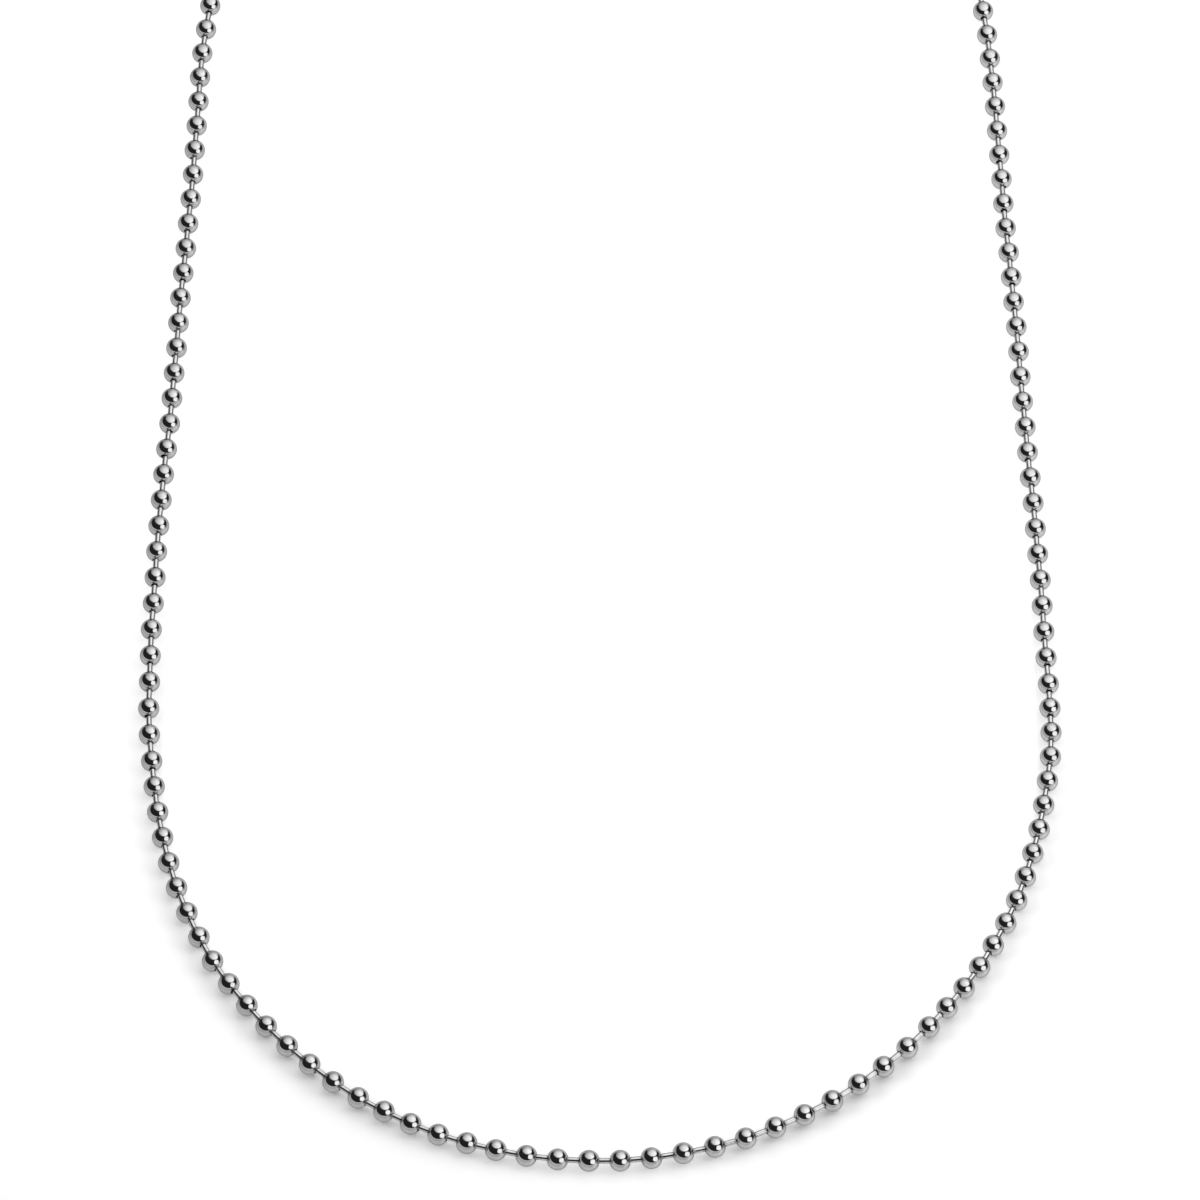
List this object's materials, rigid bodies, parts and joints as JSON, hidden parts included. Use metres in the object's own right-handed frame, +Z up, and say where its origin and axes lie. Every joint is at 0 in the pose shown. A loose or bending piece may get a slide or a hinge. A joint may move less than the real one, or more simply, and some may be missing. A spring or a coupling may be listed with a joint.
{
  "type": "ball chain necklace",
  "caption": "Polished metal ball chain necklace of small round beads joined by short pins, laid out as one long loop and closed at the nape by a plain snap-in barrel clasp.",
  "frame": {"origin": "on the surface that the necklace lies on, under the middle of its bounding box", "axes": "+Z up from the surface, +Y along the loop from the front, where a pendant would hang, to the clasp at the nape, +X to the right as the viewer sees it"},
  "size_m": [0.1062, 0.1993, 0.0032],
  "materials": {
    "polished_metal": "mirror-polished beads and drawn pins",
    "clasp_metal": "polished folded sheet"
  },
  "bodies": {
    "root": {"chain": "polished_metal", "clasp": "clasp_metal", "end_bead_left": "polished_metal", "end_bead_right": "polished_metal"}
  },
  "joints": []
}
